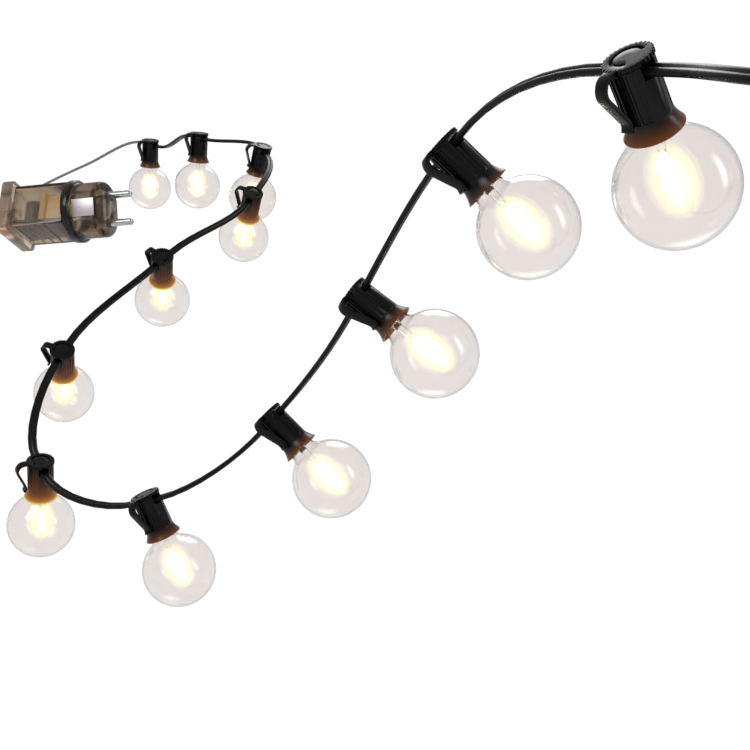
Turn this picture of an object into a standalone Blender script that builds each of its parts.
"""Plug-in string of twelve globe lamps: a clear bulb in each fluted socket, one flat cable through all the
sockets, and a round-pin adapter at the lead end. The origin is where a hook bears inside the hanging strap of
lamp 12, the highest one."""

import math

import bmesh
import bpy
from mathutils import Matrix, Vector

MM = 0.001

# Fits
CLEAR = 0.3 * MM
SLIDE_CLEAR = 0.35 * MM

# Facets
HOUSING_SEGMENTS = 24
GLOBE_SEGMENTS = 14
HOLLOW_SEGMENTS = 10
BASE_SEGMENTS = 8
BALL_STEPS = 6
HOLLOW_STEPS = 4
NOSE_SEGMENTS = 32
CAVITY_SEGMENTS = 20
GLAND_SEGMENTS = 16
PIN_SEGMENTS = 12
SHARP_ANGLE = math.radians(40)

# Cable
CABLE_D = 3.6 * MM
CABLE_WIDTH = 5.2 * MM
CABLE_STEP = 37 * MM
CABLE_STUB = 1.5 * MM

# Socket housing, measured down from the cable's centre line
HOUSING_R = 7.5 * MM
FLUTE_DEPTH = 0.6 * MM
FLUTED_SPREAD = math.radians(55)
COLUMN_OUT = 0.5 * MM
SIDE_WALL = 0.6 * MM
BODY_DROP = 15.5 * MM
SKIRT_DROP = 5.5 * MM
SKIRT_R = 9.65 * MM
RIM_WALL = 0.6 * MM
BORE_ROOF = 3.2 * MM

# Socket cap and its hanging strap
CAP_T = 1.6 * MM
CAP_TOOTH = 0.5 * MM
STRAP_T = 1.3 * MM
STRAP_W = 4.0 * MM
STRAP_BULGE = 6.0 * MM
STRAP_FOOT_GAP = 0.7 * MM
STRAP_NUB = 0.9 * MM
STRAP_TURNS = (0.10, 0.24, 0.42, 0.68, 0.86, 0.99)

# Bulb
GLOBE_R = 20.0 * MM
GLOBE_WALL = 0.9 * MM
GLOBE_DROP = 21.5 * MM
BASE_R = 5.85 * MM
BASE_LENGTH = 10.9 * MM
NECK_R = 5.9 * MM
NECK_FLARE_R = 6.6 * MM
STEM_R = 2.0 * MM
STEM_LENGTH = 13.0 * MM
FILAMENT_R = 0.8 * MM
FILAMENT_LENGTH = 19.0 * MM

# Adapter plug, along its own +Z from the front of its collar
NOSE_R = 19.0 * MM
NOSE_LENGTH = 18.5 * MM
NOSE_WALL = 2.4 * MM
NOSE_FACE_T = 6.0 * MM
NOSE_BEVEL = 1.5 * MM
COLLAR_R = 21.5 * MM
COLLAR_T = 5.5 * MM
PIN_D = 4.8 * MM
PIN_PITCH = 19.0 * MM
PIN_REACH = 19.0 * MM
PIN_ROOT = 5.0 * MM
RECESS_W = 17.0 * MM
RECESS_DEPTH = 3.0 * MM
RECESS_START = 0.5 * MM
EARTH_W = 12.0 * MM
EARTH_T = 0.8 * MM
BODY_SIDE = 31.0 * MM
BODY_LENGTH = 38.0 * MM
BODY_WALL = 2.0 * MM
BODY_CORNER = 1.5 * MM
BODY_TURN = math.radians(-20)
GROOVE_COUNT = 3
GROOVE_W = 1.2 * MM
GROOVE_DEPTH = 0.7 * MM
GROOVE_FIRST = 11.5 * MM
GROOVE_STEP = 6.5 * MM
COVER_SIDE = 38.0 * MM
COVER_T = 8.0 * MM
COVER_CORNER = 4.0 * MM
BOARD_T = 1.6 * MM
BOARD_SPARE = 1.2 * MM
BOARD_DROP = 10.0 * MM
COIL_WIDTH = 20.0 * MM
COIL_HEIGHT = 21.0 * MM
COIL_LENGTH = 20.0 * MM
COIL_CHEEK = 4.0 * MM
COIL_WAIST = 1.5 * MM
GLAND_R = 5.0 * MM
GLAND_TIP_R = 3.4 * MM
GLAND_LENGTH = 14.0 * MM

# Sealed end of the cable
END_R = 3.4 * MM
END_LENGTH = 16.0 * MM
END_SOCKET = 8.0 * MM

# Lamps from the plug end: place of the cable's centre in millimetres, then how far the bulb leans to +X
# and +Y for each unit that it drops. Places are measured from the eye of someone facing +Y.
LAMPS = (
    ((-215, 975, -120), (-0.10, 0.05)),
    ((-155, 900, -105), (-0.10, 0.00)),
    ((-95, 855, -110), (-0.25, 0.15)),
    ((-95, 775, -135), (-0.30, 0.55)),
    ((-150, 690, -165), (-0.20, 0.65)),
    ((-203, 615, -209), (-0.25, 0.60)),
    ((-197, 535, -252), (-0.15, 0.15)),
    ((-123, 485, -249), (0.40, -0.15)),
    ((-52, 470, -195), (1.10, -0.45)),
    ((-7, 435, -121), (1.50, -0.60)),
    ((28, 388, -50), (1.10, -0.35)),
    ((75, 305, -16), (0.55, 0.30)),
)

# Free cable before the first lamp and after the last, in millimetres
LEAD = (
    (-305, 725, -155),
    (-335, 815, -165),
    (-350, 935, -175),
    (-345, 1000, -170),
    (-290, 1010, -145),
)
TAIL = ((92, 252, -15), (108, 222, -16))

# Adapter: front of its collar in millimetres, the way its pins point, and its turn about that line
PLUG_PLACE = (-202, 687, -130)
PLUG_POINTS = (0.98, -0.17, 0.11)
PLUG_TURN = math.radians(-18)

# Sizes that follow from the ones above
SLOT_FLOOR = -CABLE_D / 2 - CLEAR
HOUSING_TOP = CABLE_D / 2 + SIDE_WALL
CAP_FLOOR = HOUSING_TOP + CLEAR
CAP_TOP = CAP_FLOOR + CAP_T
CAP_MID = CAP_FLOOR + CAP_T / 2
SKIRT_TOP = -BODY_DROP
RIM = SKIRT_TOP - SKIRT_DROP
BORE_R = BASE_R + SLIDE_CLEAR
BORE_TOP = SLOT_FLOOR - BORE_ROOF
BASE_TOP = BORE_TOP - CLEAR
BASE_END = BASE_TOP - BASE_LENGTH
NECK_TOP = BASE_END - CLEAR
GLOBE_CENTRE = RIM - GLOBE_DROP
HANG_POINT = Vector((0, HOUSING_R + STRAP_BULGE / 2, CAP_MID - STRAP_T / 2))
COVER_FRONT = -COLLAR_T - CLEAR - BODY_LENGTH - CLEAR
COVER_BACK = COVER_FRONT - COVER_T
GLAND_FRONT = COVER_BACK - CLEAR
GLAND_BACK = GLAND_FRONT - GLAND_LENGTH


def clear_scene():
    for old in list(bpy.data.objects):
        bpy.data.objects.remove(old)


def finish(name, colour, roughness, metallic=0.0, see_through=0.0):
    """A Principled material."""
    made = bpy.data.materials.new(name)
    made.use_nodes = True
    shader = made.node_tree.nodes["Principled BSDF"]
    shader.inputs["Base Color"].default_value = (*colour, 1)
    shader.inputs["Roughness"].default_value = roughness
    shader.inputs["Metallic"].default_value = metallic
    shader.inputs["Transmission Weight"].default_value = see_through
    return made


def mesh_of(bm, name):
    """The bmesh as a mesh with its faces turned out and its round faces smooth."""
    bmesh.ops.recalc_face_normals(bm, faces=bm.faces)
    mesh = bpy.data.meshes.new(name)
    bm.to_mesh(mesh)
    bm.free()
    mesh.shade_smooth()
    mesh.set_sharp_from_angle(angle=SHARP_ANGLE)
    return mesh


def turned(name, profile, segments, reach=None, whole=False):
    """A solid turned about Z from (radius, z) points. Flat faces close its two ends, or a whole profile closes
    on itself. reach(radius, angle) may change the radius round the turn."""
    bm = bmesh.new()
    rings = []
    for radius, z in profile:
        ring = []
        for step in range(segments):
            angle = math.tau * step / segments
            r = reach(radius, angle) if reach else radius
            ring.append(bm.verts.new((r * math.cos(angle), r * math.sin(angle), z)))
        rings.append(ring)
    pairs = list(zip(rings, rings[1:]))
    if whole:
        pairs.append((rings[-1], rings[0]))
    for upper, lower in pairs:
        for step in range(segments):
            after = (step + 1) % segments
            bm.faces.new((upper[step], upper[after], lower[after], lower[step]))
    if not whole:
        bm.faces.new(rings[0])
        bm.faces.new(rings[-1])
    return mesh_of(bm, name)


def prism(name, outline, low, high):
    """An outline in the XY plane drawn out along Z."""
    bm = bmesh.new()
    bottom = [bm.verts.new((x, y, low)) for x, y in outline]
    face = bm.faces.new(bottom)
    drawn = bmesh.ops.extrude_face_region(bm, geom=[face])
    top = [item for item in drawn["geom"] if isinstance(item, bmesh.types.BMVert)]
    bmesh.ops.translate(bm, verts=top, vec=(0, 0, high - low))
    return mesh_of(bm, name)


def box(name, low, high):
    """A block between two corners."""
    outline = ((low[0], low[1]), (high[0], low[1]), (high[0], high[1]), (low[0], high[1]))
    return prism(name, outline, low[2], high[2])


def joined(mesh, tool, operation):
    """The mesh after an exact Boolean with the tool mesh."""
    target = bpy.data.objects.new("target", mesh)
    cutter = bpy.data.objects.new("cutter", tool)
    for helper in (target, cutter):
        bpy.context.scene.collection.objects.link(helper)
    step = target.modifiers.new("cut", "BOOLEAN")
    step.operation = operation
    step.object = cutter
    bpy.context.view_layer.update()
    graph = bpy.context.evaluated_depsgraph_get()
    result = bpy.data.meshes.new_from_object(target.evaluated_get(graph))
    result.name = mesh.name
    for helper in (target, cutter):
        bpy.data.objects.remove(helper)
    return result


def cut(mesh, *tools):
    for tool in tools:
        mesh = joined(mesh, tool, "DIFFERENCE")
    return mesh


def fused(mesh, *tools):
    for tool in tools:
        mesh = joined(mesh, tool, "UNION")
    return mesh


def placed(name, mesh, material, matrix):
    """A sub-part: its own copy of the mesh, with its material, at a place."""
    part = bpy.data.objects.new(name, mesh.copy())
    part.data.materials.clear()
    part.data.materials.append(material)
    part.matrix_world = matrix
    bpy.context.scene.collection.objects.link(part)
    return part


def frame(place, x_axis, z_axis):
    """A matrix at a place, with Z kept and X squared to it."""
    z_axis = z_axis.normalized()
    x_axis = (x_axis - z_axis * x_axis.dot(z_axis)).normalized()
    turn = Matrix((x_axis, z_axis.cross(x_axis), z_axis)).transposed()
    return Matrix.Translation(place) @ turn.to_4x4()


def lamp_frames():
    """A frame for each lamp: Z up the socket, X along the cable towards the plug, Y to the hanging strap."""
    spots = [Vector(place) * MM for place, _ in LAMPS]
    chain = [Vector(LEAD[-1]) * MM, *spots, Vector(TAIL[0]) * MM]
    frames = []
    for index, (_, lean) in enumerate(LAMPS):
        along = chain[index] - chain[index + 2]
        frames.append(frame(spots[index], along, Vector((-lean[0], -lean[1], 1))))
    shift = Matrix.Translation(-(frames[-1] @ HANG_POINT))
    return [shift @ each for each in frames], shift


def plug_frame(shift):
    """The adapter's frame: Z along its pins, X up across them."""
    points = Vector(PLUG_POINTS)
    upright = frame(Vector(PLUG_PLACE) * MM, Vector((0, 0, 1)), points)
    return shift @ upright @ Matrix.Rotation(PLUG_TURN, 4, "Z")


def fluted(radius, angle):
    """Cuts a flute at every second step round the strap side and the side opposite, and swells the wall into
    a smooth column under each cable exit."""
    if radius != HOUSING_R:
        return radius
    off_strap = abs(abs(math.remainder(angle, math.tau)) - math.pi / 2)
    if off_strap > FLUTED_SPREAD:
        off_exit = (math.pi / 2 - off_strap) / (math.pi / 2 - FLUTED_SPREAD)
        return radius + COLUMN_OUT * (1 - off_exit**2)
    step = round(angle * HOUSING_SEGMENTS / math.tau)
    return radius if step % 2 else radius - FLUTE_DEPTH


def toothed(radius, angle):
    step = round(angle * HOUSING_SEGMENTS / math.tau)
    return radius - CAP_TOOTH if step % 2 else radius


def socket_housing():
    profile = (
        (HOUSING_R, HOUSING_TOP),
        (HOUSING_R, SKIRT_TOP),
        (SKIRT_R, RIM),
        (SKIRT_R - RIM_WALL, RIM),
        (BORE_R, SKIRT_TOP - RIM_WALL),
        (BORE_R, BORE_TOP),
    )
    body = turned("socket", profile, HOUSING_SEGMENTS, fluted)
    half = CABLE_WIDTH / 2 + CLEAR
    slot = box("slot", (-2 * HOUSING_R, -half, SLOT_FLOOR), (2 * HOUSING_R, half, 2 * HOUSING_R))
    return cut(body, slot)


def strap_line():
    """The strap's centre line as (y, z): out of the cap, round the bulge and back to a nub by the skirt."""
    foot = HOUSING_R + STRAP_FOOT_GAP + STRAP_T / 2
    bulge = HOUSING_R + STRAP_BULGE
    drop = CAP_MID - SKIRT_TOP
    outs = (bulge - STRAP_T / 2, bulge, bulge - STRAP_T, foot + STRAP_T, foot, foot + STRAP_NUB)
    line = [(HOUSING_R - 2 * STRAP_T, CAP_MID), (HOUSING_R + STRAP_BULGE / 2, CAP_MID)]
    line += [(out, CAP_MID - share * drop) for out, share in zip(outs, STRAP_TURNS)]
    return line


def ribbon(name, line, thickness, width):
    """A strip of even thickness along a line in the YZ plane, its width along X."""
    points = [Vector(point) for point in line]
    sides = ([], [])
    for index, point in enumerate(points):
        along = points[min(index + 1, len(points) - 1)] - points[max(index - 1, 0)]
        across = Vector((-along.y, along.x)).normalized() * thickness / 2
        sides[0].append(point + across)
        sides[1].append(point - across)
    outline = [tuple(point) for point in sides[0] + sides[1][::-1]]
    strip = prism(name, outline, -width / 2, width / 2)
    strip.transform(Matrix(((0, 0, 1, 0), (1, 0, 0, 0), (0, 1, 0, 0), (0, 0, 0, 1))))
    return strip


def socket_cap():
    disc = turned("cap", ((HOUSING_R, CAP_TOP), (HOUSING_R, CAP_FLOOR)), HOUSING_SEGMENTS, toothed)
    reach = HOUSING_R - 2 * CAP_TOOTH
    press_w = CABLE_WIDTH / 2 - CLEAR
    press = box("press", (-reach, -press_w, CABLE_D / 2 + CLEAR), (reach, press_w, CAP_MID))
    strap = ribbon("strap", strap_line(), STRAP_T, STRAP_W)
    return fused(disc, press, strap)


def ball_profile(radius, mouth_r, steps):
    """Points down a ball from a mouth near its top to just short of its lowest point."""
    start = math.asin(mouth_r / radius)
    last = math.pi - math.asin(FILAMENT_R / radius)
    angles = (start + (last - start) * step / steps for step in range(steps + 1))
    return tuple((radius * math.sin(a), GLOBE_CENTRE + radius * math.cos(a)) for a in angles)


def bulb_globe():
    outer = ((NECK_R, NECK_TOP), (NECK_FLARE_R, RIM))
    outer += ball_profile(GLOBE_R, NECK_FLARE_R + 2 * GLOBE_WALL, BALL_STEPS)
    inner = ((NECK_R - GLOBE_WALL, NECK_TOP + BASE_LENGTH / 2), (NECK_FLARE_R - GLOBE_WALL, RIM))
    inner += ball_profile(GLOBE_R - GLOBE_WALL, NECK_FLARE_R + GLOBE_WALL, HOLLOW_STEPS)
    glass = turned("globe", outer, GLOBE_SEGMENTS)
    return cut(glass, turned("hollow", inner, HOLLOW_SEGMENTS))


def bulb_base():
    stem_end = BASE_END - STEM_LENGTH
    contact_r = BASE_R / 2
    profile = (
        (contact_r, BASE_TOP),
        (BASE_R, BASE_TOP - contact_r / 2),
        (BASE_R, BASE_END),
        (STEM_R + CLEAR, BASE_END),
        (STEM_R, stem_end),
        (FILAMENT_R, stem_end),
        (FILAMENT_R, stem_end - FILAMENT_LENGTH),
    )
    return turned("base", profile, BASE_SEGMENTS)


def build_lamps(frames):
    black = finish("socket black", (0.012, 0.012, 0.013), 0.45)
    glass = finish("clear glass", (0.95, 0.96, 0.97), 0.04, see_through=1.0)
    brass = finish("plated brass", (0.72, 0.66, 0.5), 0.3, 1.0)
    shapes = (
        ("socket", socket_housing(), black),
        ("cap", socket_cap(), black),
        ("globe", bulb_globe(), glass),
        ("bulb_base", bulb_base(), brass),
    )
    for number, matrix in enumerate(frames, 1):
        for name, mesh, material in shapes:
            placed(f"{name}_{number:02d}", mesh, material, matrix)


def ends_of(matrix):
    """Where the cable leaves a socket on the plug side and on the far side, and its direction there."""
    reach = HOUSING_R + CABLE_STUB
    along = matrix.to_3x3().col[0]
    return matrix.translation + along * reach, matrix.translation - along * reach, -along


def eased(start, start_way, end, end_way):
    """Points strictly between two ends, on the smooth curve that leaves and meets them the given ways."""
    span = (end - start).length
    count = round(span / CABLE_STEP)
    for step in range(1, count + 1):
        t = step / (count + 1)
        here = start * (2 * t**3 - 3 * t**2 + 1) + end * (3 * t**2 - 2 * t**3)
        here += start_way * span * (t**3 - 2 * t**2 + t) + end_way * span * (t**3 - t**2)
        yield here


def cable_points(frames, shift, start, start_way):
    """The cable's centre line from the gland, through every socket, to its sealed end."""
    free = [shift @ (Vector(point) * MM) for point in LEAD]
    past_gland = start + start_way * (CLEAR + GLAND_LENGTH + CABLE_STUB)
    stops = [(past_gland, start_way)]
    first_in = ends_of(frames[0])[0]
    chain = [past_gland, *free, first_in]
    for index, point in enumerate(free, 1):
        stops.append((point, (chain[index + 1] - chain[index - 1]).normalized()))
    for matrix in frames:
        entry, leave, way = ends_of(matrix)
        stops += [(entry, way), (leave, way)]
    last = [shift @ (Vector(point) * MM) for point in TAIL]
    way = (last[-1] - last[-2]).normalized()
    stops += [(point, way) for point in last]
    points = [start, past_gland]
    for (a, a_way), (b, b_way) in zip(stops, stops[1:]):
        points += [*eased(a, a_way, b, b_way), b]
    return points, way


def build_cable(points):
    curve = bpy.data.curves.new("cable", "CURVE")
    curve.dimensions = "3D"
    curve.bevel_depth = CABLE_D / 2
    curve.bevel_resolution = 2
    curve.use_fill_caps = True
    line = curve.splines.new("POLY")
    line.points.add(len(points) - 1)
    for spot, place in zip(line.points, points):
        spot.co = (*place, 1)
    curve.materials.append(finish("cable black", (0.015, 0.015, 0.016), 0.5))
    cable = bpy.data.objects.new("cable", curve)
    bpy.context.scene.collection.objects.link(cable)


def build_end_cap(place, way):
    """A moulded cup that seals the cable's end."""
    profile = (
        (CABLE_D / 2 + CLEAR, -CLEAR),
        (CABLE_D / 2 + CLEAR, END_SOCKET),
        (END_R, END_SOCKET),
        (END_R, END_R + END_SOCKET - END_LENGTH),
        (END_R / 2, END_SOCKET - END_LENGTH),
    )
    matrix = frame(place, Vector((0, 0, 1)), -way)
    black = finish("end cap black", (0.014, 0.014, 0.015), 0.55)
    placed("end_cap", turned("end cap", profile, PIN_SEGMENTS), black, matrix)


def chamfered(side, corner):
    """A square outline with its corners cut off."""
    half = side / 2
    short = half - corner
    return (
        (half, short), (short, half), (-short, half), (-half, short),
        (-half, -short), (-short, -half), (short, -half), (half, -short),
    )


def nose_shell():
    inner_r = NOSE_R - NOSE_WALL
    inside = NOSE_LENGTH - NOSE_FACE_T
    profile = (
        (COLLAR_R, -COLLAR_T), (COLLAR_R, 0), (NOSE_R, 0), (NOSE_R, NOSE_LENGTH - NOSE_BEVEL),
        (NOSE_R - NOSE_BEVEL, NOSE_LENGTH),
    )
    shell = turned("nose", profile[::-1], NOSE_SEGMENTS)
    cavity_r = inner_r - RECESS_DEPTH
    hollow = turned("hollow", ((cavity_r, inside), (cavity_r, -2 * COLLAR_T)), CAVITY_SEGMENTS)
    hole_r = PIN_D / 2 + CLEAR
    bores = []
    recesses = []
    for side in (1, -1):
        bore = turned("bore", ((hole_r, 2 * NOSE_LENGTH), (hole_r, 0)), PIN_SEGMENTS)
        bore.transform(Matrix.Translation((side * PIN_PITCH / 2, 0, 0)))
        bores.append(bore)
        floor = side * (NOSE_R - RECESS_DEPTH)
        low, high = sorted((floor, 2 * floor))
        half = RECESS_W / 2
        recesses.append(box("recess", (-half, low, RECESS_START), (half, high, 2 * NOSE_LENGTH)))
    return cut(shell, hollow, *bores, *recesses)


def earth_strip(side):
    low = side * (NOSE_R - RECESS_DEPTH + CLEAR)
    high = low + side * EARTH_T
    half = EARTH_W / 2
    near, far = sorted((low, high))
    return box("earth strip", (-half, near, RECESS_START + CLEAR), (half, far, NOSE_LENGTH - NOSE_BEVEL))


def contact_pin():
    root = NOSE_LENGTH - NOSE_FACE_T - PIN_ROOT
    tip = NOSE_LENGTH + PIN_REACH
    radius = PIN_D / 2
    profile = ((radius / 2, tip), (radius, tip - radius), (radius, root))
    return turned("pin", profile, PIN_SEGMENTS)


def adapter_body():
    front = -COLLAR_T - CLEAR
    back = front - BODY_LENGTH
    shell = prism("body", chamfered(BODY_SIDE, BODY_CORNER), back, front)
    inside = chamfered(BODY_SIDE - 2 * BODY_WALL, BODY_CORNER - BODY_WALL / 2)
    inner = prism("hollow", inside, 2 * back, -front)
    grooves = []
    reach = BODY_SIDE / 2 - BODY_CORNER
    for index in range(GROOVE_COUNT):
        middle = back + GROOVE_FIRST + index * GROOVE_STEP
        low = (-BODY_SIDE, -reach, middle - GROOVE_W / 2)
        high = (-BODY_SIDE / 2 + GROOVE_DEPTH, reach, middle + GROOVE_W / 2)
        grooves.append(box("groove", low, high))
    return cut(shell, inner, *grooves)


def rear_cover():
    plate = prism("cover", chamfered(COVER_SIDE, COVER_CORNER), COVER_BACK, COVER_FRONT)
    hole_r = CABLE_D / 2 + CLEAR
    return cut(plate, turned("hole", ((hole_r, 0), (hole_r, 2 * COVER_BACK)), PIN_SEGMENTS))


def cable_gland():
    inner = CABLE_D / 2 + CLEAR
    profile = ((inner, GLAND_FRONT), (GLAND_R, GLAND_FRONT), (GLAND_TIP_R, GLAND_BACK), (inner, GLAND_BACK))
    return turned("gland", profile[::-1], GLAND_SEGMENTS, whole=True)


def circuit_board():
    half = BODY_SIDE / 2 - BODY_WALL - BOARD_SPARE
    low = COVER_FRONT + BOARD_SPARE
    return box("board", (-BOARD_DROP - BOARD_T, -half, low), (-BOARD_DROP, half, -COLLAR_T - BOARD_SPARE))


def transformer():
    """A wound block on the board, drawn in round its winding between two end cheeks."""
    half = COIL_WIDTH / 2
    front = -COLLAR_T - BOARD_SPARE
    back = front - COIL_LENGTH
    base = CLEAR - BOARD_DROP
    top = base + COIL_HEIGHT
    block = box("coil", (base, -half, back), (top, half, front))
    low = back + COIL_CHEEK
    high = front - COIL_CHEEK
    cuts = [
        box("side", (-BODY_SIDE, half - COIL_WAIST, low), (BODY_SIDE, 2 * half, high)),
        box("side", (-BODY_SIDE, -2 * half, low), (BODY_SIDE, COIL_WAIST - half, high)),
        box("top", (top - COIL_WAIST, -2 * half, low), (BODY_SIDE, 2 * half, high)),
    ]
    return cut(block, *cuts)


def build_plug(matrix):
    smoke = finish("smoked plastic", (0.16, 0.1, 0.07), 0.18, see_through=0.7)
    steel = finish("plated steel", (0.7, 0.71, 0.73), 0.22, 1.0)
    green = finish("board green", (0.05, 0.2, 0.09), 0.5)
    tape = finish("yellow tape", (0.75, 0.52, 0.12), 0.45)
    rubber = finish("gland grey", (0.09, 0.09, 0.09), 0.6)
    turn = matrix @ Matrix.Rotation(BODY_TURN, 4, "Z")
    placed("plug_nose", nose_shell(), smoke, matrix)
    placed("plug_body", adapter_body(), smoke, turn)
    placed("rear_cover", rear_cover(), smoke, turn)
    for name, side in (("pin_live", 1), ("pin_neutral", -1)):
        placed(name, contact_pin(), steel, matrix @ Matrix.Translation((side * PIN_PITCH / 2, 0, 0)))
    for name, side in (("earth_strip_front", 1), ("earth_strip_back", -1)):
        placed(name, earth_strip(side), steel, matrix)
    placed("circuit_board", circuit_board(), green, turn)
    placed("transformer", transformer(), tape, turn)
    placed("cable_gland", cable_gland(), rubber, matrix)


def main():
    clear_scene()
    frames, shift = lamp_frames()
    plug = plug_frame(shift)
    build_lamps(frames)
    build_plug(plug)
    way_out = -plug.to_3x3().col[2]
    start = plug @ Vector((0, 0, COVER_BACK))
    points, end_way = cable_points(frames, shift, start, way_out)
    build_cable(points)
    build_end_cap(points[-1], end_way)


main()
